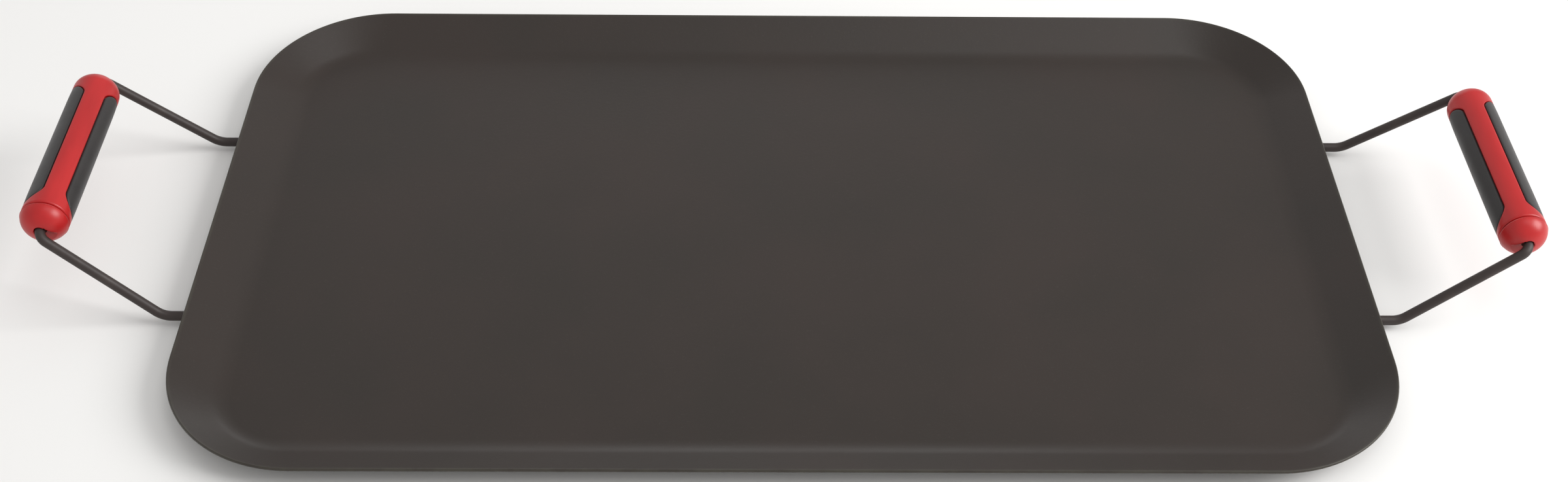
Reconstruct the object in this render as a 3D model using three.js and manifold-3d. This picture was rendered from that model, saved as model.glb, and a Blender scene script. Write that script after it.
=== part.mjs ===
// Stovetop griddle for two burners: a shallow pressed-steel tray with a flared wall, and a bail
// handle of bent wire under each end, with a two-material grip.
//
// Millimetres, +Z up. The origin is the centre of the tray's underside, where it rests on a grate.
// X runs along the tray from the left handle to the right one, and -Y is the side facing the cook.

import * as THREE from 'three';
import { mergeVertices } from 'three/addons/utils/BufferGeometryUtils.js';
import Module from 'manifold-3d';

const wasm = await Module();
wasm.setup();

// ---------------------------------------------------------------- driving dimensions

const sheetThickness = 1.2;       // steel of the tray
const trayLength = 480;           // over the rim, along X
const trayWidth = 280;            // over the rim, along Y
const trayCornerRadius = 57;      // at the rim
const floorCornerRadius = 31;     // at the fold, tighter than the rim's, so the corners are steeper
const cookingDepth = 11;          // rim down to the cooking surface
const wallRun = 19;               // level distance from the rim to the fold at the floor
const foldRadius = 18;            // of the bend between floor and wall, at mid-sheet

const wireDiameter = 4;
const wireBaseClearance = 2.3;    // from the plane the tray rests on up to the wires
const wireSpacingAtTray = 108;    // between the two wires of a handle, under the wall
const wireSpacingAtGrip = 98;     // the same, at the grip
const wireReachPastRim = 10.5;    // level stretch outside the rim, before the wire turns up
const bailLength = 57;            // sloping part of a wire, from that bend to the grip's axis
const risingBendRadius = 9;
const gripBendRadius = 4;
const leftHandleRise = 43;        // slope of each bail above the level, in degrees
const rightHandleRise = 38;

const gripDiameter = 19;
const gripLength = 94;
const gripDomeLength = 8;         // rounded part at each end of a grip
const coreHollowDiameter = 10.4;  // moulded cavity inside the grip's core
const coreEndWall = 8.5;          // plastic behind the cavity, at the far end
const capSpigotLength = 6;        // plug of the end cap inside that cavity
const capEdgeChamfer = 0.5;       // makes the ring groove between cap and core
const padLength = 71;
const padWidth = 16.4;            // across the pad as seen square on
const padCornerRadius = 6;
const padThickness = 1.6;
const gripKeyAngle = 108.5;       // round the grip, from its red spine to the wire's slot, in degrees

const weldLength = 11;            // bead at the end of each wire, along the wire
const weldWidth = 7.6;
const weldHeight = 5.8;

const fitGap = 0.3;               // between pieces that touch

// ---------------------------------------------------------------- finishes

const coatedSteel = { color: 0x443f3b, roughness: 0.5, metalness: 0.35 };
const coatedWire = { color: 0x453d39, roughness: 0.45, metalness: 0.35 };
const redPlastic = { color: 0xc43a3a, roughness: 0.35, metalness: 0 };
const blackSoftPad = { color: 0x3d3b39, roughness: 0.75, metalness: 0 };

// ---------------------------------------------------------------- derived sizes

const radians = THREE.MathUtils.degToRad;
const rimHeight = sheetThickness + cookingDepth;
const wallAngle = Math.atan2(cookingDepth, wallRun);
const wireRadius = wireDiameter / 2;
const wireHeight = wireBaseClearance + wireRadius;
const gripRadius = gripDiameter / 2;
const gripHalf = gripLength / 2;
const domeStart = gripHalf - gripDomeLength;
const boreRadius = wireRadius + fitGap;
const hollowRadius = coreHollowDiameter / 2;

/** Height of the wall's underside at a level distance out from the tray's centre, along X. */
function wallUnderside(x) {
  const underRim = rimHeight - sheetThickness * Math.cos(wallAngle);
  return underRim - (trayLength / 2 - x) * Math.tan(wallAngle);
}

/** Where the wire is cut off: its top edge is one gap below the wall's underside there. */
function wireEndReach() {
  const topEdge = wireHeight + wireRadius + fitGap / Math.cos(wallAngle);
  return trayLength / 2 - (wallUnderside(trayLength / 2) - topEdge) / Math.tan(wallAngle);
}

// ---------------------------------------------------------------- helpers

function meshOf(name, geometry, finish) {
  const material = new THREE.MeshStandardMaterial(finish);
  const mesh = new THREE.Mesh(geometry, material);
  mesh.name = name;
  return mesh;
}

/** A closed three.js geometry as a manifold solid. */
function solidOf(geometry) {
  const bare = geometry.index ? geometry.toNonIndexed() : geometry.clone();
  bare.deleteAttribute('normal');
  bare.deleteAttribute('uv');
  const merged = mergeVertices(bare, 1e-4);
  const mesh = new wasm.Mesh({
    numProp: 3,
    vertProperties: new Float32Array(merged.attributes.position.array),
    triVerts: new Uint32Array(merged.index.array),
  });
  return new wasm.Manifold(mesh);
}

/** A manifold solid as a three.js geometry. */
function geometryOf(solid) {
  const mesh = solid.getMesh();
  const geometry = new THREE.BufferGeometry();
  geometry.setAttribute('position', new THREE.Float32BufferAttribute(mesh.vertProperties, 3));
  geometry.setIndex(Array.from(mesh.triVerts));
  return geometry;
}

/** A solid of revolution about Y from a closed outline of [radius, y] points. */
function turned(outline, segments = 32) {
  const points = outline.map(([radius, y]) => new THREE.Vector2(radius, y));
  points.push(points[0].clone());
  return new THREE.LatheGeometry(points, segments);
}

/** A flat outline extruded by a depth, centred on its own plane. */
function slab(shape, depth, curveSegments = 16) {
  const geometry = new THREE.ExtrudeGeometry(shape, { depth, curveSegments, bevelEnabled: false });
  geometry.translate(0, 0, -depth / 2);
  return geometry;
}

/** Circular arc that rounds the corner between two straight stretches of a wire. */
class CornerArc extends THREE.Curve {
  constructor(before, corner, after, radius) {
    super();
    const back = before.clone().sub(corner).normalize();
    const ahead = after.clone().sub(corner).normalize();
    const halfOpening = back.angleTo(ahead) / 2;
    const tangentLength = radius / Math.tan(halfOpening);
    this.start = corner.clone().addScaledVector(back, tangentLength);
    this.end = corner.clone().addScaledVector(ahead, tangentLength);
    const middle = back.clone().add(ahead).normalize();
    this.centre = corner.clone().addScaledVector(middle, radius / Math.sin(halfOpening));
    this.turn = Math.PI - 2 * halfOpening;
  }

  getPoint(t) {
    const from = this.start.clone().sub(this.centre);
    const to = this.end.clone().sub(this.centre);
    const a = Math.sin((1 - t) * this.turn) / Math.sin(this.turn);
    const b = Math.sin(t * this.turn) / Math.sin(this.turn);
    return this.centre.clone().addScaledVector(from, a).addScaledVector(to, b);
  }
}

/** One path through the given corners, each rounded by its own radius. */
function roundedPath(corners, radii) {
  const path = new THREE.CurvePath();
  let from = corners[0];
  radii.forEach((radius, i) => {
    const arc = new CornerArc(corners[i], corners[i + 1], corners[i + 2], radius);
    path.add(new THREE.LineCurve3(from, arc.start));
    path.add(arc);
    from = arc.end;
  });
  path.add(new THREE.LineCurve3(from, corners[corners.length - 1]));
  return path;
}

/** Round bar along a path. */
function barAlong(path, radius, stepLength = 2.5, sides = 10) {
  const section = new THREE.Shape();
  section.absarc(0, 0, radius, 0, 2 * Math.PI);
  return new THREE.ExtrudeGeometry(section, {
    extrudePath: path,
    steps: Math.ceil(path.getLength() / stepLength),
    curveSegments: sides / 2,
    bevelEnabled: false,
  });
}

// ---------------------------------------------------------------- tray

/** Rounded outline of the tray where its wall or floor is a level distance inside the rim. */
function trayOutline(inset, cornerSegments = 12) {
  const points = [];
  const radius = THREE.MathUtils.lerp(trayCornerRadius, floorCornerRadius, inset / wallRun);
  for (let corner = 0; corner < 4; corner += 1) {
    const signX = corner === 0 || corner === 3 ? 1 : -1;
    const signY = corner < 2 ? 1 : -1;
    const centreX = signX * (trayLength / 2 - inset - radius);
    const centreY = signY * (trayWidth / 2 - inset - radius);
    for (let step = 0; step <= cornerSegments; step += 1) {
      const angle = (corner + step / cornerSegments) * (Math.PI / 2);
      points.push([centreX + radius * Math.cos(angle), centreY + radius * Math.sin(angle)]);
    }
  }
  return points;
}

/** One face of the sheet, 1 for the upper and -1 for the lower: [inset, height] from fold to rim. */
function sheetFace(side, arcSteps = 4) {
  const halfSheet = sheetThickness / 2;
  const rimInset = halfSheet * Math.sin(wallAngle);
  const rimLevel = rimHeight - halfSheet * Math.cos(wallAngle);
  const bendCentre = halfSheet + foldRadius;
  const wallRise = rimLevel - (bendCentre - foldRadius * Math.cos(wallAngle));
  const foldInset = rimInset + wallRise / Math.tan(wallAngle) + foldRadius * Math.sin(wallAngle);
  const radius = foldRadius - side * halfSheet;
  const face = [];
  for (let step = 0; step <= arcSteps; step += 1) {
    const angle = wallAngle * step / arcSteps;
    face.push([foldInset - radius * Math.sin(angle), bendCentre - radius * Math.cos(angle)]);
  }
  const across = side * halfSheet;
  face.push([rimInset + across * Math.sin(wallAngle), rimLevel + across * Math.cos(wallAngle)]);
  return face;
}

function trayGeometry() {
  const upper = sheetFace(1);
  const lower = sheetFace(-1);
  const sections = [...upper, ...lower.reverse()];
  const rings = sections.map(([inset, height]) => trayOutline(inset).map(([x, y]) => [x, y, height]));
  const count = rings[0].length;
  const positions = rings.flat(2);
  const index = [];
  for (let ring = 0; ring + 1 < rings.length; ring += 1) {
    for (let i = 0; i < count; i += 1) {
      const j = (i + 1) % count;
      const a = ring * count + i;
      const b = ring * count + j;
      const c = a + count;
      const d = b + count;
      index.push(a, c, b, b, c, d);
    }
  }
  const floor = trayOutline(sections[0][0]).map(([x, y]) => new THREE.Vector2(x, y));
  const lastRing = (rings.length - 1) * count;
  for (const [a, b, c] of THREE.ShapeUtils.triangulateShape(floor, [])) {
    index.push(a, b, c);
    index.push(lastRing + a, lastRing + c, lastRing + b);
  }
  const geometry = new THREE.BufferGeometry();
  geometry.setAttribute('position', new THREE.Float32BufferAttribute(positions, 3));
  geometry.setIndex(index);
  return geometry;
}

// ---------------------------------------------------------------- handles

/** Corner points of a bail's wire, near end first. side is 1 at the right, -1 at the left. */
function wireCorners(side, rise) {
  const bend = side * (trayLength / 2 + wireReachPastRim);
  const grip = gripCentre(side, rise);
  const start = side * wireEndReach();
  const base = wireSpacingAtTray / 2;
  const top = wireSpacingAtGrip / 2;
  return [
    new THREE.Vector3(start, -base, wireHeight),
    new THREE.Vector3(bend, -base, wireHeight),
    new THREE.Vector3(grip.x, -top, grip.z),
    new THREE.Vector3(grip.x, top, grip.z),
    new THREE.Vector3(bend, base, wireHeight),
    new THREE.Vector3(start, base, wireHeight),
  ];
}

function gripCentre(side, rise) {
  const out = trayLength / 2 + wireReachPastRim + bailLength * Math.cos(radians(rise));
  return new THREE.Vector3(side * out, 0, wireHeight + bailLength * Math.sin(radians(rise)));
}

function wireGeometry(side, rise) {
  const radii = [risingBendRadius, gripBendRadius, gripBendRadius, risingBendRadius];
  return barAlong(roundedPath(wireCorners(side, rise), radii), wireRadius);
}

/** Weld bead that joins one end of a wire to the underside of the wall. */
function weldGeometry(side, end) {
  const bead = new THREE.SphereGeometry(0.5, 16, 8);
  bead.scale(weldLength, weldWidth, weldHeight);
  const beadCentre = wireEndReach() + weldLength / 6;
  bead.translate(beadCentre, 0, wallUnderside(beadCentre) - weldHeight / 6);

  const clear = 2 * weldLength;
  const edge = (x) => wallUnderside(x) - fitGap / Math.cos(wallAngle);
  const wall = new THREE.Shape([
    new THREE.Vector2(beadCentre - clear, edge(beadCentre - clear)),
    new THREE.Vector2(beadCentre + clear, edge(beadCentre + clear)),
    new THREE.Vector2(beadCentre - clear, edge(beadCentre + clear)),
  ]);
  const wallBlock = slab(wall, 2 * weldWidth).rotateX(Math.PI / 2);

  const wireRoom = new THREE.CylinderGeometry(boreRadius, boreRadius, clear, 16);
  wireRoom.rotateZ(Math.PI / 2);
  wireRoom.translate(wireEndReach() - fitGap + clear / 2, 0, wireHeight);

  const solid = solidOf(bead).subtract(solidOf(wallBlock)).subtract(solidOf(wireRoom));
  const geometry = geometryOf(solid);
  if (side < 0) geometry.rotateZ(Math.PI);
  geometry.translate(0, end * wireSpacingAtTray / 2, 0);
  return geometry;
}

/** Outline of a grip's domed end from the full radius in to the bore, at +Y or -Y. */
function domeOutline(end, steps = 6) {
  const last = Math.acos(boreRadius / gripRadius);
  const points = [];
  for (let step = 0; step <= steps; step += 1) {
    const angle = last * step / steps;
    points.push([
      gripRadius * Math.cos(angle),
      end * (domeStart + gripDomeLength * Math.sin(angle)),
    ]);
  }
  return points;
}

/** Slot in a grip's end that the bent wire drops into, which stops the grip from turning. */
function wireSlot(side, end) {
  const slotBottom = wireSpacingAtGrip / 2 - gripBendRadius - fitGap;
  const slotDepth = gripHalf - slotBottom + fitGap;
  const slot = new THREE.BoxGeometry(2 * boreRadius, slotDepth, gripRadius);
  slot.translate(0, end * (slotBottom + slotDepth / 2), gripRadius / 2);
  slot.rotateY(-side * radians(gripKeyAngle));
  return solidOf(slot);
}

/** Pad outline, square on: a rounded rectangle grown by a margin. */
function padOutline(margin) {
  const radius = padCornerRadius + margin;
  const across = padWidth / 2 - padCornerRadius;
  const along = padLength / 2 - padCornerRadius;
  const shape = new THREE.Shape();
  shape.absarc(across, along, radius, 0, Math.PI / 2);
  shape.absarc(-across, along, radius, Math.PI / 2, Math.PI);
  shape.absarc(-across, -along, radius, Math.PI, 1.5 * Math.PI);
  shape.absarc(across, -along, radius, 1.5 * Math.PI, 2 * Math.PI);
  return shape;
}

/** Curved block behind a pad outline: facing is 1 or -1 along the grip's own X. */
function padBlock(facing, innerRadius, outerRadius, margin) {
  const reach = padLength / 2 + 2 * margin + 1;
  const ring = turned([[innerRadius, -reach], [outerRadius, -reach], [outerRadius, reach], [innerRadius, reach]], 48);
  const punch = slab(padOutline(margin), gripRadius, 5);
  punch.rotateY(Math.PI / 2);
  punch.translate(facing * (gripRadius / 2 + 1), 0, 0);
  return solidOf(ring).intersect(solidOf(punch));
}

function padGeometry(facing) {
  return geometryOf(padBlock(facing, gripRadius - padThickness, gripRadius, 0));
}

/** Hard core of a grip: domed at the far end, hollow, and open at the near end for the cap. */
function coreGeometry(side) {
  const joint = -domeStart;
  const cavityEnd = gripHalf - coreEndWall;
  const body = turned([
    [hollowRadius, joint],
    [gripRadius - capEdgeChamfer, joint],
    [gripRadius, joint + capEdgeChamfer],
    ...domeOutline(1),
    [boreRadius, cavityEnd],
    [hollowRadius, cavityEnd],
  ]);
  let solid = solidOf(body).subtract(wireSlot(side, 1));
  for (const facing of [-1, 1]) {
    const recessFloor = gripRadius - padThickness - fitGap;
    solid = solid.subtract(padBlock(facing, recessFloor, gripRadius + 1, fitGap));
  }
  return geometryOf(solid);
}

/** End cap of a grip: domed, with a spigot that plugs the core's cavity. */
function capGeometry(side) {
  const joint = -domeStart - fitGap;
  const spigotEnd = joint + capSpigotLength;
  const spigotRadius = hollowRadius - fitGap;
  const body = turned([
    [boreRadius, spigotEnd],
    ...domeOutline(-1).reverse().slice(0, -1),
    [gripRadius, joint - capEdgeChamfer],
    [gripRadius - capEdgeChamfer, joint],
    [spigotRadius, joint],
    [spigotRadius, spigotEnd],
  ]);
  return geometryOf(solidOf(body).subtract(wireSlot(side, -1)));
}

function gripGroup(name, side, rise) {
  const group = new THREE.Group();
  group.add(meshOf(`${name}_grip_core`, coreGeometry(side), redPlastic));
  group.add(meshOf(`${name}_grip_cap`, capGeometry(side), redPlastic));
  group.add(meshOf(`${name}_pad_inner`, padGeometry(-side), blackSoftPad));
  group.add(meshOf(`${name}_pad_outer`, padGeometry(side), blackSoftPad));
  group.position.copy(gripCentre(side, rise));
  group.rotation.y = -side * radians(90 + rise - gripKeyAngle);
  return group;
}

function handleGroup(name, side, rise) {
  const group = new THREE.Group();
  group.add(meshOf(`${name}_wire_bail`, wireGeometry(side, rise), coatedWire));
  group.add(meshOf(`${name}_weld_near`, weldGeometry(side, -1), coatedWire));
  group.add(meshOf(`${name}_weld_far`, weldGeometry(side, 1), coatedWire));
  group.add(gripGroup(name, side, rise));
  return group;
}

// ---------------------------------------------------------------- assembly

const griddle = new THREE.Group();
griddle.add(meshOf('griddle_tray', trayGeometry(), coatedSteel));
griddle.add(handleGroup('left', -1, leftHandleRise));
griddle.add(handleGroup('right', 1, rightHandleRise));

export default griddle;
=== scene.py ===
"""Two-burner stovetop griddle: a pressed-steel tray with a baked nonstick coating, and a bail handle of
coated wire at each end with a red grip that carries two soft black pads.

Sizes are in millimetres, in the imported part's own frame, and are turned to metres as a mesh is made.
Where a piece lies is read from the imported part: its boxes, and which way its pads face.
"""

import math

import bmesh
import bpy
from mathutils import Matrix, Quaternion, Vector, geometry, noise


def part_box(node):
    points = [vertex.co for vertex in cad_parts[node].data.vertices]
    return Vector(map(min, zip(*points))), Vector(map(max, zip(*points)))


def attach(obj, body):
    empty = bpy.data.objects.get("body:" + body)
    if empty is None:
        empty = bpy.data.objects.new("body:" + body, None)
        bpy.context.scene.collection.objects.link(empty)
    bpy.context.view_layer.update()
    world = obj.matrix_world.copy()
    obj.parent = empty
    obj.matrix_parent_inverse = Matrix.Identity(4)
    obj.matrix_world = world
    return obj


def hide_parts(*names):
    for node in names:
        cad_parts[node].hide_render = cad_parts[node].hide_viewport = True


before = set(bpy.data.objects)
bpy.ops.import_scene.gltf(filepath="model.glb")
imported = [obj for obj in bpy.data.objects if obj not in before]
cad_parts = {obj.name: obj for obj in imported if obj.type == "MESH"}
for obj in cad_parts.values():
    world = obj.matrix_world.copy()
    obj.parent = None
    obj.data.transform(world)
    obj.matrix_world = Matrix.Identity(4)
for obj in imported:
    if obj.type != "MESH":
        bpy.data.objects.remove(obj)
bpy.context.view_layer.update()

MM = 0.001
SIDES = {"left": -1, "right": 1}

# ---------------------------------------------------------------- sizes that the boxes don't give

SHEET = 1.2
RIM_CORNER_RADIUS = 57
FLOOR_CORNER_RADIUS = 31
WALL_RUN = 19
FOLD_RADIUS = 18
SHEET_EDGE_RADIUS = 0.42
EDGE_WEAR = 1.0            # how far the worn coating reaches in from the cut edge
FLOOR_CROWN = 0.35
FLOOR_CROWN_SPREAD = 2.5   # how soon the crown is reached, going in from the fold
FLOOR_EVEN_SHARE = 0.6     # part of the crown that is the same all over
FLOOR_UNEVEN_SHARE = 0.8   # part of it that comes and goes
FLOOR_WAVE = 120           # distance over which the floor's unevenness varies
FLOOR_GRID = 7
FLOOR_TOLERANCE = 0.001
KEEP_INSIDE = 1            # the triangulation drops what lies outside the outline
FOLD_STEPS = 12
WALL_ROWS = (12, 9, 6, 3)  # places of the wall's rings, back from the rim
EDGE_STEPS = 4
RIM_CORNER_STEPS = 32
RIM_LONG_STEPS = 48
RIM_SHORT_STEPS = 20

WIRE_RADIUS = 2
WIRE_SIDES = 32
REACH_PAST_RIM = 10.5
WIRE_SPACING_AT_GRIP = 98
RISING_BEND_RADIUS = 9
GRIP_BEND_RADIUS = 4
BEND_STEP = 5              # degrees from one point of a bend to the next
WELD_RUN = 5.5             # length of the bead beside the wire, from its cut end
WELD_OFFSET = 1.9          # from the wire's axis out to the bead's
WELD_SINK = 1.25           # from the wall's underside down to the bead's axis
WELD_WIDTH = 3.3
WELD_PITCH = 0.95          # between one ripple of the bead and the next
WELD_DROP_THICKNESS = WELD_PITCH * 1.6
WELD_DROP_SUBDIVISIONS = 4
WELD_UNEVENNESS = 0.14
WELD_SEED = 3
WELD_GRAIN = 0.15          # voxel that the drops are fused at
WELD_SOFTENING = 2
HALF_ROUND = [math.radians(turn) for turn in range(20, 180, 20)]

GRIP_RADIUS = 9.5
DOME_LENGTH = 8
BORE_RADIUS = 2.3
HOLLOW_RADIUS = 5.2
END_WALL = 8.5
SPIGOT_LENGTH = 6
JOINT_GAP = 0.3
JOINT_EDGE_RADIUS = 0.9
PAD_LENGTH = 71
PAD_WIDTH = 16.4
PAD_CORNER_RADIUS = 6
PAD_THICKNESS = 1.6
PAD_EDGE_RADIUS = 0.55
PAD_CROWN = 0.12
RECESS_LIP_RADIUS = 0.3
MOUTH_RADIUS = 0.4         # rounding of the bore's mouth
SLOT_EDGE = 0.5            # width of the soft edge of the slot that the bent wire lies in
FIT_GAP = 0.3
BARREL_STEPS = 10
LIP_STEPS = 3
RECESS_STEPS = 8
PAD_STEPS = 12
PAD_EDGE_STEPS = 5
DOME_STEPS = 48
MOUTH_STEPS = 4
JOINT_EDGE_STEPS = 4

MERGE_DISTANCE = 1e-4
SHARP = 42                 # degrees above which an edge stays sharp
SHEET_AND_WIRE_SHARP = 50
PAD_SHARP = 60


# ---------------------------------------------------------------- colours and nodes

def linear(hex_colour):
    """An sRGB hex colour as linear RGBA."""
    channels = [int(hex_colour[i:i + 2], 16) / 255 for i in (1, 3, 5)]
    return [c / 12.92 if c <= 0.04045 else ((c + 0.055) / 1.055) ** 2.4 for c in channels] + [1.0]


def per_metre(size_mm):
    """Texture scale that gives features of a real size in millimetres."""
    return 1 / (size_mm * MM)


def add(tree, kind, sockets=None, **settings):
    """Adds a node. Settings are its properties; a socket takes a value, a node or one of its outputs."""
    made = tree.nodes.new(kind)
    for name, value in settings.items():
        setattr(made, name, value)
    for key, value in (sockets or {}).items():
        named = (socket for socket in made.inputs if socket.enabled and socket.name == key)
        socket = made.inputs[key] if isinstance(key, int) else next(named)
        if isinstance(value, bpy.types.Node):
            value = next(output for output in value.outputs if output.enabled)
        if isinstance(value, bpy.types.NodeSocket):
            tree.links.new(value, socket)
        else:
            socket.default_value = value
    return made


def new_material(name):
    """An empty node material, with the Object coordinates that its patterns read."""
    material = bpy.data.materials.new(name)
    material.use_nodes = True
    tree = material.node_tree
    tree.nodes.clear()
    place = add(tree, "ShaderNodeTexCoord").outputs["Object"]
    return material, tree, place


# ---------------------------------------------------------------- finishes

def nonstick_on_pressed_steel():
    """Nonstick coating, sprayed on pressed steel and baked: a warm charcoal, satin and finely pebbled, a
    little cloudy where the spray was thicker, and thin and brownish over the sheet's cut edge."""
    material, tree, place = new_material("nonstick_on_pressed_steel")
    clouds = add(tree, "ShaderNodeTexNoise", {"Vector": place, "Scale": per_metre(70), "Detail": 3})
    spray = add(tree, "ShaderNodeTexNoise", {
        "Vector": place, "Scale": per_metre(9), "Detail": 4, "Roughness": 0.6,
    })
    grit = add(tree, "ShaderNodeTexNoise", {"Vector": place, "Scale": per_metre(0.9), "Detail": 1})
    # The real pebbling is about 0.8 mm across; it is drawn twice as coarse, so that it shows.
    pebble = add(tree, "ShaderNodeTexNoise", {"Vector": place, "Scale": per_metre(1.6), "Detail": 3})

    cloudy = add(tree, "ShaderNodeMapRange", {"Value": clouds, "From Min": 0.35, "From Max": 0.65})
    coat = add(tree, "ShaderNodeMix", {
        "Factor": cloudy, "A": linear("#27201b"), "B": linear("#2b221d"),
    }, data_type="RGBA")
    fleck = add(tree, "ShaderNodeMapRange", {
        "Value": grit, "From Min": 0.66, "From Max": 0.74, "To Max": 0.12,
    })
    flecked = add(tree, "ShaderNodeMix", {
        "Factor": fleck, "A": coat, "B": linear("#4a4440"),
    }, data_type="RGBA")
    edge = add(tree, "ShaderNodeAttribute", attribute_name="cut_edge").outputs["Fac"]
    patchy = add(tree, "ShaderNodeMapRange", {
        "Value": spray, "From Min": 0.35, "From Max": 0.6, "To Min": 0.35,
    })
    thin = add(tree, "ShaderNodeMath", {0: edge, 1: patchy}, operation="MULTIPLY")
    colour = add(tree, "ShaderNodeMix", {
        "Factor": thin, "A": flecked, "B": linear("#36322a"),
    }, data_type="RGBA")

    haze = add(tree, "ShaderNodeMath", {0: spray, 1: 0.5, 2: clouds}, operation="MULTIPLY_ADD")
    roughness = add(tree, "ShaderNodeMapRange", {
        "Value": haze, "From Min": 0.5, "From Max": 1.0, "To Min": 0.38, "To Max": 0.44,
    })
    bump = add(tree, "ShaderNodeBump", {"Height": pebble, "Distance": 0.035 * MM})
    shader = add(tree, "ShaderNodeBsdfPrincipled", {
        "Base Color": colour, "Roughness": roughness, "Normal": bump, "IOR": 1.45,
    })
    add(tree, "ShaderNodeOutputMaterial", {"Surface": shader})
    return material


def baked_coating_on_wire():
    """Black bake coating on bent round wire: satin with a fine orange peel, and rubbed thin in places."""
    material, tree, place = new_material("baked_coating_on_wire")
    peel = add(tree, "ShaderNodeTexNoise", {"Vector": place, "Scale": per_metre(0.8), "Detail": 2})
    wear = add(tree, "ShaderNodeTexNoise", {
        "Vector": place, "Scale": per_metre(14), "Detail": 4, "Roughness": 0.65,
    })
    rubbed = add(tree, "ShaderNodeMapRange", {
        "Value": wear, "From Min": 0.5, "From Max": 0.75, "To Max": 0.5,
    })
    colour = add(tree, "ShaderNodeMix", {
        "Factor": rubbed, "A": linear("#2e2421"), "B": linear("#463a33"),
    }, data_type="RGBA")
    roughness = add(tree, "ShaderNodeMapRange", {
        "Value": rubbed, "From Max": 0.5, "To Min": 0.54, "To Max": 0.46,
    })
    bump = add(tree, "ShaderNodeBump", {"Height": peel, "Distance": 0.02 * MM})
    shader = add(tree, "ShaderNodeBsdfPrincipled", {
        "Base Color": colour, "Roughness": roughness, "Normal": bump, "IOR": 1.5,
    })
    add(tree, "ShaderNodeOutputMaterial", {"Surface": shader})
    return material


def coated_weld_metal():
    """Arc-weld bead under the same bake coating: lumpy, dull, with a brown heat bloom showing through."""
    material, tree, place = new_material("coated_weld_metal")
    scale = add(tree, "ShaderNodeTexNoise", {
        "Vector": place, "Scale": per_metre(0.7), "Detail": 3, "Roughness": 0.7,
    })
    heat = add(tree, "ShaderNodeTexNoise", {"Vector": place, "Scale": per_metre(5), "Detail": 3})
    bloom = add(tree, "ShaderNodeMapRange", {"Value": heat, "From Min": 0.4, "From Max": 0.62})
    colour = add(tree, "ShaderNodeMix", {
        "Factor": bloom, "A": linear("#2a2523"), "B": linear("#3d3129"),
    }, data_type="RGBA")
    roughness = add(tree, "ShaderNodeMapRange", {
        "Value": scale, "From Min": 0.3, "From Max": 0.7, "To Min": 0.45, "To Max": 0.65,
    })
    bump = add(tree, "ShaderNodeBump", {"Height": scale, "Distance": 0.06 * MM})
    shader = add(tree, "ShaderNodeBsdfPrincipled", {
        "Base Color": colour, "Roughness": roughness, "Normal": bump, "IOR": 1.5,
    })
    add(tree, "ShaderNodeOutputMaterial", {"Surface": shader})
    return material


def moulded_red_polypropylene():
    """Injection-moulded red polypropylene: satin gloss from a lightly blasted mould, a faint cloudiness
    along the grip where the melt flowed, and fine handling scuffs that only show in the gloss."""
    material, tree, place = new_material("moulded_red_polypropylene")
    along = add(tree, "ShaderNodeMapping", {"Vector": place, "Scale": (1.0, 0.25, 1.0)})
    flow = add(tree, "ShaderNodeTexNoise", {"Vector": along, "Scale": per_metre(8), "Detail": 3})
    # The grain of a blasted mould is about 0.15 mm; it is drawn three times as coarse, so that it shows.
    grain = add(tree, "ShaderNodeTexNoise", {"Vector": place, "Scale": per_metre(0.45), "Detail": 2})
    rub = add(tree, "ShaderNodeTexNoise", {
        "Vector": place, "Scale": per_metre(3.5), "Detail": 4, "Roughness": 0.7,
    })
    cloudy = add(tree, "ShaderNodeMapRange", {"Value": flow, "From Min": 0.35, "From Max": 0.65})
    colour = add(tree, "ShaderNodeMix", {
        "Factor": cloudy, "A": linear("#a81113"), "B": linear("#b51819"),
    }, data_type="RGBA")
    roughness = add(tree, "ShaderNodeMapRange", {
        "Value": rub, "From Min": 0.58, "From Max": 0.72, "To Min": 0.36, "To Max": 0.46,
    })
    bump = add(tree, "ShaderNodeBump", {"Height": grain, "Distance": 0.012 * MM})
    shader = add(tree, "ShaderNodeBsdfPrincipled", {
        "Base Color": colour, "Roughness": roughness, "Normal": bump, "IOR": 1.49,
        "Subsurface Weight": 0.05, "Subsurface Scale": 2 * MM,
    })
    add(tree, "ShaderNodeOutputMaterial", {"Surface": shader})
    return material


def soft_black_elastomer():
    """Overmoulded thermoplastic rubber: near black and matte from a spark-eroded mould, with a faint dry
    bloom that greys it where hands have not polished it."""
    material, tree, place = new_material("soft_black_elastomer")
    # The grain of such a mould is about 0.2 mm; it is drawn three times as coarse, so that it shows.
    grain = add(tree, "ShaderNodeTexNoise", {
        "Vector": place, "Scale": per_metre(0.6), "Detail": 3, "Roughness": 0.6,
    })
    dry = add(tree, "ShaderNodeTexNoise", {
        "Vector": place, "Scale": per_metre(7), "Detail": 3, "Roughness": 0.55,
    })
    bloom = add(tree, "ShaderNodeMapRange", {"Value": dry, "From Min": 0.35, "From Max": 0.7})
    colour = add(tree, "ShaderNodeMix", {
        "Factor": bloom, "A": linear("#1f1b1b"), "B": linear("#272322"),
    }, data_type="RGBA")
    roughness = add(tree, "ShaderNodeMapRange", {"Value": bloom, "To Min": 0.5, "To Max": 0.62})
    bump = add(tree, "ShaderNodeBump", {"Height": grain, "Distance": 0.03 * MM})
    shader = add(tree, "ShaderNodeBsdfPrincipled", {
        "Base Color": colour, "Roughness": roughness, "Normal": bump, "IOR": 1.5,
        "Sheen Weight": 0.1, "Sheen Roughness": 0.5,
    })
    add(tree, "ShaderNodeOutputMaterial", {"Surface": shader})
    return material


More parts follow.
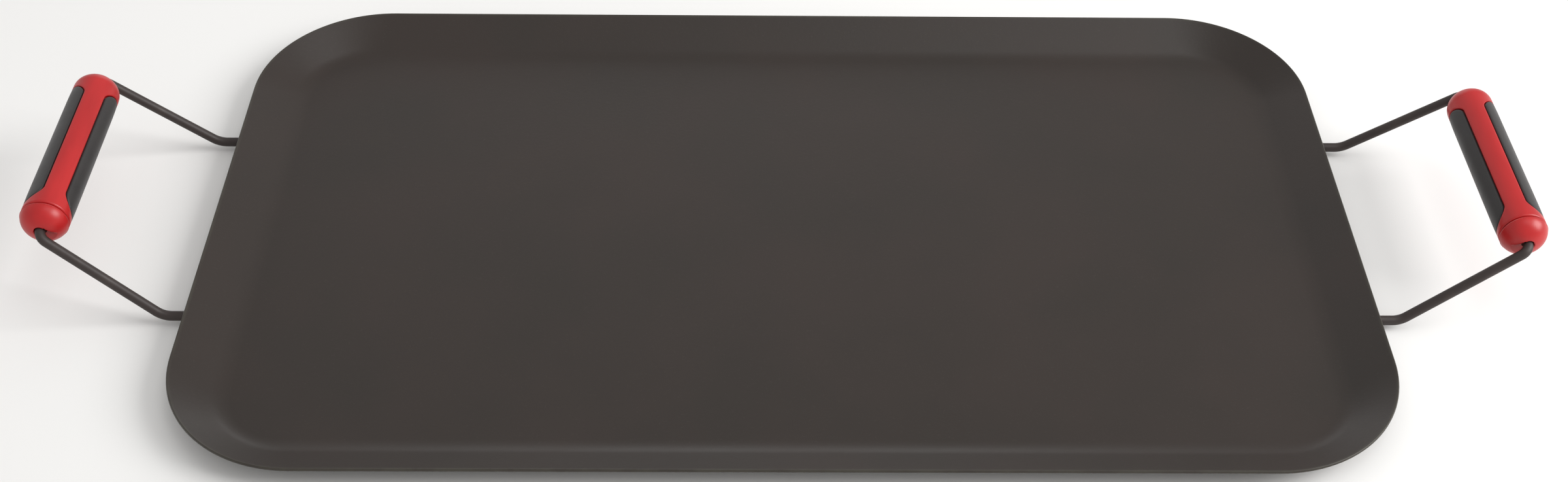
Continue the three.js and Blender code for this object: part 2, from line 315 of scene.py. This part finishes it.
def pale_studio_board():
    """Painted board under the object: near white and matte, with the faint tooth of a rolled paint."""
    material, tree, place = new_material("pale_studio_board")
    tooth = add(tree, "ShaderNodeTexNoise", {"Vector": place, "Scale": per_metre(3), "Detail": 3})
    tone = add(tree, "ShaderNodeTexNoise", {"Vector": place, "Scale": per_metre(300), "Detail": 2})
    colour = add(tree, "ShaderNodeMix", {
        "Factor": tone, "A": linear("#eae9e7"), "B": linear("#efeeec"),
    }, data_type="RGBA")
    roughness = add(tree, "ShaderNodeMapRange", {"Value": tooth, "To Min": 0.75, "To Max": 0.85})
    bump = add(tree, "ShaderNodeBump", {"Height": tooth, "Distance": 0.02 * MM})
    shader = add(tree, "ShaderNodeBsdfPrincipled", {
        "Base Color": colour, "Roughness": roughness, "Normal": bump,
    })
    add(tree, "ShaderNodeOutputMaterial", {"Surface": shader})
    return material


# ---------------------------------------------------------------- mesh helpers

def closed_mesh(name, points, faces, sharp_degrees=SHARP, **attributes):
    """One closed skin: doubles merged, faces outwards, smooth except over edges sharper than the angle."""
    mesh = bpy.data.meshes.new(name)
    mesh.from_pydata(points, [], faces)
    for label, values in attributes.items():
        mesh.attributes.new(label, "FLOAT", "POINT").data.foreach_set("value", values)
    work = bmesh.new()
    work.from_mesh(mesh)
    bmesh.ops.remove_doubles(work, verts=work.verts, dist=MERGE_DISTANCE)
    bmesh.ops.recalc_face_normals(work, faces=work.faces)
    work.to_mesh(mesh)
    work.free()
    mesh.shade_smooth()
    mesh.set_sharp_from_angle(angle=math.radians(sharp_degrees))
    return mesh


def skin_between(rings, first=0):
    """Quads that join each closed ring of points to the next, for points numbered ring by ring."""
    faces = []
    count = len(rings[0])
    for ring in range(len(rings) - 1):
        for i in range(count):
            j = (i + 1) % count
            low = first + ring * count
            faces.append((low + i, low + j, low + count + j, low + count + i))
    return faces


def rounded_loop(half_x, half_y, radius, corner_steps, x_steps, y_steps):
    """Points around a rounded rectangle, anticlockwise from the start of its (+x, +y) corner."""
    arcs = []
    for corner, (sign_x, sign_y) in enumerate(((1, 1), (-1, 1), (-1, -1), (1, -1))):
        centre = Vector((sign_x * (half_x - radius), sign_y * (half_y - radius)))
        turns = [(corner + step / corner_steps) * math.pi / 2 for step in range(corner_steps + 1)]
        arcs.append([centre + radius * Vector((math.cos(turn), math.sin(turn))) for turn in turns])
    loop = []
    for corner, arc in enumerate(arcs):
        steps = x_steps if corner % 2 == 0 else y_steps
        ahead = arcs[(corner + 1) % 4][0]
        loop += arc
        loop += [arc[-1].lerp(ahead, step / steps) for step in range(1, steps)]
    return loop


def quarter(steps):
    """Angles from 0 to a right angle."""
    return [step / steps * math.pi / 2 for step in range(steps + 1)]


# ---------------------------------------------------------------- tray

TRAY_HALF_X, TRAY_HALF_Y, RIM_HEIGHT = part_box("griddle_tray")[1] / MM
WALL_SLOPE = math.atan2(RIM_HEIGHT - SHEET, WALL_RUN)


def sheet_section():
    """(inset, height, cut edge) up the inside from the floor, over the sheet's edge and back underneath."""
    half = SHEET / 2
    outward = Vector((-math.cos(WALL_SLOPE), math.sin(WALL_SLOPE)))
    upward = Vector((math.sin(WALL_SLOPE), math.cos(WALL_SLOPE)))
    rim = Vector((half * upward.x, RIM_HEIGHT - half * upward.y))
    bend_height = half + FOLD_RADIUS
    wall_rise = rim.y - (bend_height - FOLD_RADIUS * math.cos(WALL_SLOPE))
    bend_inset = rim.x + wall_rise / math.tan(WALL_SLOPE) + FOLD_RADIUS * math.sin(WALL_SLOPE)
    bend = Vector((bend_inset, bend_height))

    def face(side):
        radius = FOLD_RADIUS - side * half
        turns = [WALL_SLOPE * step / FOLD_STEPS for step in range(FOLD_STEPS + 1)]
        fold = [(*(bend - radius * Vector((math.sin(t), math.cos(t)))), 0.0) for t in turns]
        end = rim - SHEET_EDGE_RADIUS * outward + side * half * upward
        wall = [(*(end - back * outward), 0.0) for back in WALL_ROWS]
        worn = [(*(end - EDGE_WEAR * outward), 0.0), (*(end - EDGE_WEAR / 2 * outward), 0.5)]
        centre = end - side * SHEET_EDGE_RADIUS * upward
        edge = [
            (*(centre + SHEET_EDGE_RADIUS * (math.cos(t) * side * upward + math.sin(t) * outward)), 1.0)
            for t in quarter(EDGE_STEPS)
        ]
        return fold + wall + worn + edge

    return face(1) + face(-1)[::-1]


def tray_ring(inset, height):
    """One closed ring of the tray, at a distance in from the rim and a height."""
    radius = RIM_CORNER_RADIUS + (FLOOR_CORNER_RADIUS - RIM_CORNER_RADIUS) * inset / WALL_RUN
    half_x = TRAY_HALF_X - inset
    half_y = TRAY_HALF_Y - inset
    loop = rounded_loop(half_x, half_y, radius, RIM_CORNER_STEPS, RIM_LONG_STEPS, RIM_SHORT_STEPS)
    return [Vector((x, y, height)) for x, y in loop]


def floor_rise(x, y, half_x, half_y):
    """How far pressing and baking have lifted the floor: unevenly, and not at all at the fold."""
    inside = max(0.0, 1 - (x / half_x) ** 2) * max(0.0, 1 - (y / half_y) ** 2)
    uneven = noise.noise(Vector((x, y, 0)) / FLOOR_WAVE)
    lifted = min(1.0, FLOOR_CROWN_SPREAD * inside ** 2)
    return FLOOR_CROWN * lifted * (FLOOR_EVEN_SHARE + FLOOR_UNEVEN_SHARE * uneven)


def tray():
    """The pressing: walls, rim and folds ring by ring, and a triangulated floor, above and below."""
    section = sheet_section()
    rings = [tray_ring(inset, height) for inset, height, _ in section]
    count = len(rings[0])
    points = [point for ring in rings for point in ring]
    cut_edge = [edge for _, _, edge in section for _ in range(count)]
    faces = skin_between(rings)

    outline = [Vector((p.x, p.y)) for p in rings[0]]
    half_x = max(p.x for p in outline)
    half_y = max(p.y for p in outline)
    inner = []
    columns = int(half_x // FLOOR_GRID)
    rows = int(half_y // FLOOR_GRID)
    for column in range(-columns, columns + 1):
        for row in range(-rows, rows + 1):
            spot = Vector((column, row)) * FLOOR_GRID
            clear = min((spot - p).length for p in outline) > FLOOR_GRID / 2
            if clear and inside_floor(spot, half_x, half_y):
                inner.append(spot)
    loop = [(i, (i + 1) % count) for i in range(count)]
    flat, _, triangles, *_ = geometry.delaunay_2d_cdt(
        outline + inner, loop, [], KEEP_INSIDE, FLOOR_TOLERANCE
    )
    last_ring = len(points) - count
    for level, ring_start in ((SHEET, 0), (0.0, last_ring)):
        numbers = {}
        for i, spot in enumerate(flat):
            if i < count:
                numbers[i] = ring_start + i
                continue
            numbers[i] = len(points)
            points.append(Vector((*spot, level + floor_rise(*spot, half_x, half_y))))
            cut_edge.append(0.0)
        faces += [tuple(numbers[i] for i in triangle) for triangle in triangles]
    return closed_mesh("pressed_tray", points, faces, SHEET_AND_WIRE_SHARP, cut_edge=cut_edge)


def inside_floor(spot, half_x, half_y):
    """Whether a spot lies within the floor's rounded outline."""
    radius = FLOOR_CORNER_RADIUS
    over_x = max(0.0, abs(spot.x) - (half_x - radius))
    over_y = max(0.0, abs(spot.y) - (half_y - radius))
    return math.hypot(over_x, over_y) < radius


# ---------------------------------------------------------------- bails

def rounded_path(corners, radii):
    """The corners joined by straight stretches, with each inner corner an arc of its own radius."""
    path = [corners[0]]
    for before, corner, after, radius in zip(corners, corners[1:], corners[2:], radii):
        back = (before - corner).normalized()
        ahead = (after - corner).normalized()
        half_opening = back.angle(ahead) / 2
        centre = corner + (back + ahead).normalized() * (radius / math.sin(half_opening))
        start = corner + back * (radius / math.tan(half_opening))
        turn = math.pi - 2 * half_opening
        axis = back.cross(ahead)
        steps = max(2, round(math.degrees(turn) / BEND_STEP))
        for step in range(steps + 1):
            path.append(centre + Matrix.Rotation(-turn * step / steps, 3, axis) @ (start - centre))
    path.append(corners[-1])
    return path


def handle_frame(name, side):
    """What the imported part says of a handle: its grip's centre, the way to the pan, its wire's corners."""
    wire_low, wire_high = (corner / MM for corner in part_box(f"{name}_wire_bail"))
    core_low, core_high = (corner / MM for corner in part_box(f"{name}_grip_core"))
    centre = (core_low + core_high) / 2
    centre.y = 0.0
    pads = [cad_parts[f"{name}_pad_{place}"] for place in ("inner", "outer")]
    spots = [[vertex.co for vertex in pad.data.vertices] for pad in pads]
    inner, outer = (sum(places, Vector()) / len(places) for places in spots)
    to_pan = (inner - outer).normalized()
    spine = to_pan.cross(Vector((0, 1, 0)))
    if spine.z < 0:
        spine = -spine
    start = wire_low.x if side > 0 else wire_high.x
    bend = side * (TRAY_HALF_X + REACH_PAST_RIM)
    level = wire_low.z + WIRE_RADIUS
    base = wire_high.y - WIRE_RADIUS
    top = WIRE_SPACING_AT_GRIP / 2
    corners = [
        Vector((start, -base, level)),
        Vector((bend, -base, level)),
        Vector((centre.x, -top, centre.z)),
        Vector((centre.x, top, centre.z)),
        Vector((bend, base, level)),
        Vector((start, base, level)),
    ]
    leg = corners[1] - corners[2]
    return {"centre": centre, "to_pan": to_pan, "spine": spine, "corners": corners, "leg": leg}


def new_shape_tree(name, **inputs):
    """A Geometry Nodes tree with a shape going in and out, and a named input for each size."""
    tree = bpy.data.node_groups.new(name, "GeometryNodeTree")
    tree.interface.new_socket("Geometry", in_out="INPUT", socket_type="NodeSocketGeometry")
    tree.interface.new_socket("Geometry", in_out="OUTPUT", socket_type="NodeSocketGeometry")
    for label, kind in inputs.items():
        tree.interface.new_socket(label, in_out="INPUT", socket_type=kind)
    return tree, add(tree, "NodeGroupInput").outputs


def give_out(tree, shape, material):
    """Ends a tree: instances made real, the finish set, and the shape passed on."""
    real = add(tree, "GeometryNodeRealizeInstances", {0: shape}).outputs[0]
    coated = add(tree, "GeometryNodeSetMaterial", {"Geometry": real, "Material": material}).outputs[0]
    add(tree, "NodeGroupOutput", {0: coated})


def grown(name, source, tree, **values):
    """The plain mesh that a tree makes of a curve or mesh, with the tree's named inputs set."""
    holder = bpy.data.objects.new(name, source)
    bpy.context.scene.collection.objects.link(holder)
    modifier = holder.modifiers.new(tree.name, "NODES")
    modifier.node_group = tree
    for item in tree.interface.items_tree:
        if item.in_out == "INPUT" and item.name in values:
            modifier[item.identifier] = values[item.name]
    depsgraph = bpy.context.evaluated_depsgraph_get()
    mesh = bpy.data.meshes.new_from_object(holder.evaluated_get(depsgraph), depsgraph=depsgraph)
    bpy.data.objects.remove(holder)
    mesh.name = name
    return mesh


def line_of(name, points):
    """A curve of straight steps through the points."""
    curve = bpy.data.curves.new(name, "CURVE")
    curve.dimensions = "3D"
    spline = curve.splines.new("POLY")
    spline.points.add(len(points) - 1)
    spline.points.foreach_set("co", [value for point in points for value in (*point, 1.0)])
    return curve


def round_wire_tree(material):
    """Round wire along a curve, closed at both ends."""
    tree, given = new_shape_tree("round_wire", Radius="NodeSocketFloat", Sides="NodeSocketInt")
    section = add(tree, "GeometryNodeCurvePrimitiveCircle", {
        "Resolution": given["Sides"], "Radius": given["Radius"],
    })
    wire = add(tree, "GeometryNodeCurveToMesh", {
        "Curve": given["Geometry"],
        "Profile Curve": section.outputs[0],
        "Fill Caps": True,
    })
    give_out(tree, wire.outputs[0], material)
    return tree


def weld_ripple_tree(material):
    """Overlapping drops of weld metal, one after another along a curve, each turned to lie across it."""
    tree, given = new_shape_tree(
        "weld_ripples", Spacing="NodeSocketFloat", Width="NodeSocketFloat", Thickness="NodeSocketFloat",
        Unevenness="NodeSocketFloat",
    )
    spots = add(tree, "GeometryNodeCurveToPoints", {
        "Curve": given["Geometry"], "Length": given["Spacing"],
    }, mode="LENGTH")
    drop = add(tree, "GeometryNodeMeshIcoSphere", {
        "Radius": 0.5, "Subdivisions": WELD_DROP_SUBDIVISIONS,
    })
    shape = add(tree, "ShaderNodeCombineXYZ", {0: given["Width"], 1: given["Width"], 2: given["Thickness"]})
    low = add(tree, "ShaderNodeMath", {0: 1.0, 1: given["Unevenness"]}, operation="SUBTRACT")
    high = add(tree, "ShaderNodeMath", {0: 1.0, 1: given["Unevenness"]}, operation="ADD")
    uneven = add(tree, "FunctionNodeRandomValue", {
        2: low.outputs[0], 3: high.outputs[0], "Seed": WELD_SEED,
    }, data_type="FLOAT")
    size = add(tree, "ShaderNodeVectorMath", {
        0: shape.outputs[0], "Scale": uneven.outputs[1],
    }, operation="SCALE")
    drops = add(tree, "GeometryNodeInstanceOnPoints", {
        "Points": spots.outputs["Points"],
        "Instance": drop.outputs[0],
        "Rotation": spots.outputs["Rotation"],
        "Scale": size.outputs[0],
    })
    give_out(tree, drops.outputs[0], material)
    return tree


def bail(name, handle, tree):
    """The bent wire of a handle, from one weld through the grip to the other."""
    radii = (RISING_BEND_RADIUS, GRIP_BEND_RADIUS, GRIP_BEND_RADIUS, RISING_BEND_RADIUS)
    curve = line_of(f"{name}_wire_path", rounded_path(handle["corners"], radii))
    mesh = grown(f"{name}_bent_wire", curve, tree, Radius=float(WIRE_RADIUS), Sides=WIRE_SIDES)
    mesh.shade_smooth()
    mesh.set_sharp_from_angle(angle=math.radians(SHEET_AND_WIRE_SHARP))
    return mesh


def under_wall(place):
    """Height of the wall's underside over a place near one of the tray's ends."""
    under_rim = RIM_HEIGHT - SHEET * math.cos(WALL_SLOPE)
    return under_rim - (TRAY_HALF_X - abs(place.x)) * math.tan(WALL_SLOPE)


def weld_bead(name, side, wire_end, tree):
    """Bead down one side of the wire, round its cut end and back up the other, close to the wall."""
    path = [Vector((WELD_RUN, -WELD_OFFSET))]
    path += [WELD_OFFSET * Vector((-math.sin(turn), -math.cos(turn))) for turn in (0, *HALF_ROUND, math.pi)]
    path.append(Vector((WELD_RUN, WELD_OFFSET)))
    spots = [wire_end + Vector((side * along, across, 0)) for along, across in path]
    for spot in spots:
        spot.z = under_wall(spot) - WELD_SINK
    curve = line_of(f"{name}_path", spots)
    ripples = grown(
        name, curve, tree,
        Spacing=WELD_PITCH, Width=WELD_WIDTH, Thickness=WELD_DROP_THICKNESS, Unevenness=WELD_UNEVENNESS,
    )
    return fused(ripples)


def fused(mesh):
    """The overlapping lumps of a mesh as one skin, a little softened, as metal that wetted and froze."""
    holder = bpy.data.objects.new(mesh.name, mesh)
    bpy.context.scene.collection.objects.link(holder)
    fuse = holder.modifiers.new("fused", "REMESH")
    fuse.mode = "VOXEL"
    fuse.voxel_size = WELD_GRAIN
    fuse.use_smooth_shade = True
    soften = holder.modifiers.new("wetted", "SMOOTH")
    soften.iterations = WELD_SOFTENING
    depsgraph = bpy.context.evaluated_depsgraph_get()
    skin = bpy.data.meshes.new_from_object(holder.evaluated_get(depsgraph), depsgraph=depsgraph)
    bpy.data.objects.remove(holder)
    return skin


# ---------------------------------------------------------------- grips

HALF_GRIP = (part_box("left_grip_core")[1].y) / MM
DOME_START = HALF_GRIP - DOME_LENGTH
CORNER_STEPS = 16
ACROSS_STEPS = 64
ALONG_STEPS = 64
AROUND = 2 * (CORNER_STEPS + ACROSS_STEPS)
RECESS_RADIUS = GRIP_RADIUS - PAD_THICKNESS - FIT_GAP


def pad_loop(grow):
    """A pad's outline as (turn round the barrel, place along it), grown by a margin, from mid-corner."""
    loop = rounded_loop(
        PAD_WIDTH / 2 + grow, PAD_LENGTH / 2 + grow, PAD_CORNER_RADIUS + grow,
        CORNER_STEPS, ACROSS_STEPS, ALONG_STEPS,
    )
    start = CORNER_STEPS // 2
    loop = loop[start:] + loop[:start]
    return [Vector((math.asin(across / GRIP_RADIUS), along)) for across, along in loop]


def pad_middle(loop):
    """For each point of a pad's outline, the point of its lengthwise middle line that it shrinks to."""
    reach = (PAD_LENGTH - PAD_WIDTH) / 2
    return [Vector((0.0, max(-reach, min(reach, point.y)))) for point in loop]


def barrel_edge():
    """Edge of the half barrel round a pad, point for point with the pad's outline."""
    ends = CORNER_STEPS + ACROSS_STEPS
    sides = CORNER_STEPS + ALONG_STEPS
    far = DOME_START
    near = -DOME_START + JOINT_EDGE_RADIUS
    side = math.pi / 2
    corners = [Vector((side, far)), Vector((-side, far)), Vector((-side, near)), Vector((side, near))]
    loop = []
    for i, steps in enumerate((ends, sides, ends, sides)):
        loop += [corners[i].lerp(corners[(i + 1) % 4], step / steps) for step in range(steps)]
    return loop


def on_barrel(loop, radius, facing):
    """A loop of (turn, along) as points of the grip's own frame, on a cylinder of that radius."""
    return [
        Vector((facing * radius * math.cos(turn), along, radius * math.sin(turn)))
        for turn, along in loop
    ]


def between(first, second, share):
    """The loop that lies part of the way from one loop to another."""
    return [a.lerp(b, share) for a, b in zip(first, second)]


def turned_rings(outline):
    """Rings of a solid of revolution about the grip's axis, from (radius, along) points."""
    turns = [2 * math.pi * i / AROUND for i in range(AROUND)]
    return [
        [Vector((radius * math.cos(t), along, radius * math.sin(t))) for t in turns]
        for radius, along in outline
    ]


def dome_outline(end):
    """(radius, along) from the barrel over the domed end and its rounded mouth to the bore, at +Y or -Y."""
    mouth = BORE_RADIUS + MOUTH_RADIUS
    last = math.acos(mouth / GRIP_RADIUS)
    outline = []
    for step in range(DOME_STEPS + 1):
        angle = last * step / DOME_STEPS
        outline.append((GRIP_RADIUS * math.cos(angle), end * (DOME_START + DOME_LENGTH * math.sin(angle))))
    height = abs(outline[-1][1])
    for turn in quarter(MOUTH_STEPS)[1:]:
        along = end * (height - MOUTH_RADIUS * (1 - math.cos(turn)))
        outline.append((mouth - MOUTH_RADIUS * math.sin(turn), along))
    return outline


def joint_edge(joint, way):
    """(radius, along) over the rounded edge where core and cap meet, from a joint face towards +Y or -Y."""
    outline = []
    for turn in quarter(JOINT_EDGE_STEPS):
        radius = GRIP_RADIUS - JOINT_EDGE_RADIUS * (1 - math.sin(turn))
        outline.append((radius, joint + way * JOINT_EDGE_RADIUS * (1 - math.cos(turn))))
    return outline


def with_wire_slot(rings, end, leg):
    """Sinks the part of a domed end that the bent wire lies in, to a slot with soft moulded edges."""
    bottom = WIRE_SPACING_AT_GRIP / 2 - GRIP_BEND_RADIUS - FIT_GAP
    across = Vector((-leg.y, leg.x))
    for ring in rings:
        for point in ring:
            spot = Vector((point.x, point.z))
            beside = abs(spot.dot(across)) - BORE_RADIUS
            ahead = spot.dot(leg)
            if ahead < 0 or end * point.y < bottom:
                continue
            share = 1 - min(1.0, max(0.0, beside / SLOT_EDGE))
            share = share * share * (3 - 2 * share)
            point.y = end * (end * point.y + (bottom - end * point.y) * share)
    return rings


def grip_core(name, leg):
    """The red core: barrel with a recess for each pad, domed far end, bore, and cavity open to the cap."""
    points = []
    faces = []

    def lay(rings):
        faces.extend(skin_between(rings, len(points)))
        points.extend(point for ring in rings for point in ring)

    edge = barrel_edge()
    lip = pad_loop(FIT_GAP + RECESS_LIP_RADIUS)
    wall = pad_loop(FIT_GAP)
    middle = pad_middle(wall)
    for facing in (-1, 1):
        rings = []
        for step in range(BARREL_STEPS):
            rings.append(on_barrel(between(edge, lip, step / BARREL_STEPS), GRIP_RADIUS, facing))
        for turn in quarter(LIP_STEPS):
            grow = FIT_GAP + RECESS_LIP_RADIUS * (1 - math.sin(turn))
            radius = GRIP_RADIUS - RECESS_LIP_RADIUS * (1 - math.cos(turn))
            rings.append(on_barrel(pad_loop(grow), radius, facing))
        for step in range(RECESS_STEPS + 1):
            rings.append(on_barrel(between(wall, middle, step / RECESS_STEPS), RECESS_RADIUS, facing))
        lay(rings)

    joint = -DOME_START
    cavity_end = HALF_GRIP - END_WALL
    lay(with_wire_slot(turned_rings(dome_outline(1) + [(BORE_RADIUS, cavity_end)]), 1, leg))
    inside = [(BORE_RADIUS, cavity_end), (HOLLOW_RADIUS, cavity_end), (HOLLOW_RADIUS, joint)]
    lay(turned_rings(inside + joint_edge(joint, 1)))
    return closed_mesh(name, points, faces)


def grip_cap(name, leg):
    """The red cap at the near end: domed, bored for the wire, with a spigot that plugs the cavity."""
    joint = -DOME_START - JOINT_GAP
    spigot_end = joint + SPIGOT_LENGTH
    spigot_radius = HOLLOW_RADIUS - FIT_GAP
    outline = [(BORE_RADIUS, spigot_end), (spigot_radius, spigot_end), (spigot_radius, joint)]
    outline += joint_edge(joint, -1)
    outline += [spot for spot in dome_outline(-1) if spot[1] < joint - JOINT_EDGE_RADIUS]
    outline.append((BORE_RADIUS, spigot_end))
    rings = with_wire_slot(turned_rings(outline), -1, leg)
    points = [point for ring in rings for point in ring]
    return closed_mesh(name, points, skin_between(rings))


def grip_pad(name, facing):
    """A soft pad: rounded all round its edge, a little crowned, and hollow-backed to fit the barrel."""
    outline = pad_loop(0)
    middle = pad_middle(outline)
    back = GRIP_RADIUS - PAD_THICKNESS
    rings = [
        on_barrel(between(middle, outline, step / RECESS_STEPS), back, facing)
        for step in range(RECESS_STEPS + 1)
    ]
    for turn in quarter(PAD_EDGE_STEPS)[::-1]:
        shrink = PAD_EDGE_RADIUS * (1 - math.sin(turn))
        radius = GRIP_RADIUS - PAD_EDGE_RADIUS * (1 - math.cos(turn))
        rings.append(on_barrel(pad_loop(-shrink), radius, facing))
    top = pad_loop(-PAD_EDGE_RADIUS)
    for step in range(1, PAD_STEPS + 1):
        share = step / PAD_STEPS
        rise = PAD_CROWN * (1 - (1 - share) ** 2)
        rings.append(on_barrel(between(top, middle, share), GRIP_RADIUS + rise, facing))
    points = [point for ring in rings for point in ring]
    return closed_mesh(name, points, skin_between(rings), PAD_SHARP)


# ---------------------------------------------------------------- the object

def finished(name, mesh, material, slot, *nodes):
    """A piece from a mesh in millimetres: it rides on the one body and stands for its CAD nodes."""
    mesh.materials.clear()
    mesh.materials.append(material)
    mesh.transform(Matrix.Scale(MM, 4))
    piece = bpy.data.objects.new(name, mesh)
    bpy.context.scene.collection.objects.link(piece)
    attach(piece, "root")
    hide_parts(*nodes)
    return piece


def set_in_place(mesh, handle):
    """Turns and moves a mesh from the grip's own frame to where the handle holds it, faces outwards."""
    columns = (handle["to_pan"], Vector((0, 1, 0)), handle["spine"])
    turn = Matrix(columns).transposed().to_4x4()
    mesh.transform(Matrix.Translation(handle["centre"]) @ turn)
    if turn.determinant() < 0:
        mesh.flip_normals()
    return mesh


def build_handle(name, side, finishes):
    """All the pieces of one handle: wire, two weld beads, grip core, cap and two pads."""
    handle = handle_frame(name, side)
    leg = handle["leg"]
    leg = Vector((leg.dot(handle["to_pan"]), leg.dot(handle["spine"]))).normalized()
    wire_tree = round_wire_tree(finishes["wire"])
    wire = bail(name, handle, wire_tree)
    finished(f"{name}_bent_wire", wire, finishes["wire"], "coated_wire", f"{name}_wire_bail")
    ripples = weld_ripple_tree(finishes["weld"])
    for place, wire_end in (("near", handle["corners"][0]), ("far", handle["corners"][-1])):
        bead = weld_bead(f"{name}_{place}_weld_bead", side, wire_end, ripples)
        finished(f"{name}_{place}_weld_bead", bead, finishes["weld"], "coated_wire", f"{name}_weld_{place}")
    core = set_in_place(grip_core(f"{name}_moulded_core", leg), handle)
    finished(core.name, core, finishes["red"], "red_plastic", f"{name}_grip_core")
    cap = set_in_place(grip_cap(f"{name}_moulded_cap", leg), handle)
    finished(cap.name, cap, finishes["red"], "red_plastic", f"{name}_grip_cap")
    for place, facing in (("inner", 1), ("outer", -1)):
        pad = set_in_place(grip_pad(f"{name}_{place}_soft_pad", facing), handle)
        finished(pad.name, pad, finishes["pad"], "black_soft_plastic", f"{name}_pad_{place}")


finishes = {
    "wire": baked_coating_on_wire(),
    "weld": coated_weld_metal(),
    "red": moulded_red_polypropylene(),
    "pad": soft_black_elastomer(),
}
finished("pressed_tray", tray(), nonstick_on_pressed_steel(), "coated_steel", "griddle_tray")
for handle_name, handle_side in SIDES.items():
    build_handle(handle_name, handle_side, finishes)


# ---------------------------------------------------------------- studio

CAMERA_PLACE = (-10.88, -581.35, 548.26)
CAMERA_DOWN = 43.515
CAMERA_YAW = 1.106
CAMERA_ROLL = 1.007
CAMERA_LENS = 42.89
CAMERA_SENSOR = 36

BOARD_SIZE = 14000

AIR_STRENGTH = 0.68
SOFTBOXES = {              # place, size and watts
    "right_softbox": ((1780, -300, 1260), (1240, 1240), 40),
    "top_softbox": ((550, -220, 2110), (900, 900), 4),
    "low_back_softbox": ((0, 2100, 560), (1000, 760), 2.2),
}


def board():
    """The wide level board that the object stands on."""
    half = BOARD_SIZE / 2
    mesh = bpy.data.meshes.new("studio_board")
    corners = [(-half, -half, 0), (half, -half, 0), (half, half, 0), (-half, half, 0)]
    mesh.from_pydata(corners, [], [(0, 1, 2, 3)])
    mesh.materials.append(pale_studio_board())
    mesh.transform(Matrix.Scale(MM, 4))
    piece = bpy.data.objects.new("studio_board", mesh)
    bpy.context.scene.collection.objects.link(piece)


def softbox(name, place, size, watts):
    """A soft rectangular light that faces the tray. Place and size are in millimetres."""
    light = bpy.data.lights.new(name, "AREA")
    light.shape = "RECTANGLE"
    light.size = size[0] * MM
    light.size_y = size[1] * MM
    light.energy = watts
    holder = bpy.data.objects.new(name, light)
    holder.location = Vector(place) * MM
    holder.rotation_euler = (-holder.location).to_track_quat("-Z", "Y").to_euler()
    holder.visible_camera = False
    bpy.context.scene.collection.objects.link(holder)


def studio():
    """Even white air, a large soft light at the right, and two weak ones above and low behind."""
    world = bpy.data.worlds.new("studio_air")
    world.use_nodes = True
    world.node_tree.nodes.clear()
    air = add(world.node_tree, "ShaderNodeBackground", {
        "Color": linear("#ffffff"), "Strength": AIR_STRENGTH,
    })
    add(world.node_tree, "ShaderNodeOutputWorld", {"Surface": air})
    bpy.context.scene.world = world
    for name, (spot, size, watts) in SOFTBOXES.items():
        softbox(name, spot, size, watts)
    bpy.context.scene.view_settings.view_transform = "Standard"


def camera():
    """The camera, looking down over the near side of the tray."""
    down = math.radians(CAMERA_DOWN)
    yaw = math.radians(CAMERA_YAW)
    forward = Vector((math.sin(yaw) * math.cos(down), math.cos(yaw) * math.cos(down), -math.sin(down)))
    lens = bpy.data.cameras.new("camera")
    lens.lens = CAMERA_LENS
    lens.sensor_width = CAMERA_SENSOR
    holder = bpy.data.objects.new("camera", lens)
    holder.location = Vector(CAMERA_PLACE) * MM
    holder.rotation_mode = "QUATERNION"
    roll = Quaternion(forward, -math.radians(CAMERA_ROLL))
    holder.rotation_quaternion = roll @ forward.to_track_quat("-Z", "Y")
    bpy.context.scene.collection.objects.link(holder)
    bpy.context.scene.camera = holder


board()
studio()
camera()
